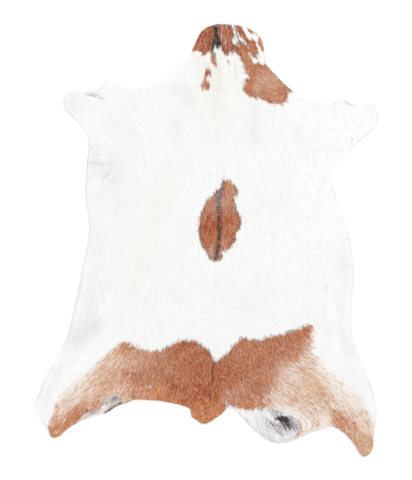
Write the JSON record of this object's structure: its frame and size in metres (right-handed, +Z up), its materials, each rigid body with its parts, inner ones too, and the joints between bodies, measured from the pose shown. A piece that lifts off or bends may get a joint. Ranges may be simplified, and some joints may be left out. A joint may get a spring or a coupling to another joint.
{
  "type": "goatskin rug",
  "caption": "Flat goatskin hide with short hair left on, cut to its natural outline, used as a floor rug or throw.",
  "frame": {"origin": "on the floor, under the centre of the hide's bounding box", "axes": "+Z up, out of the hair side; +Y from the tail end to the neck end; +X to the right when the neck end is at the top"},
  "size_m": [0.7194, 0.9084, 0.0106],
  "materials": {
    "goat_hair": "short lying hair, white with red-brown patches, soft sheen",
    "tanned_skin": "matt suede flesh side"
  },
  "bodies": {
    "root": {"hide": "goat_hair"}
  },
  "joints": []
}
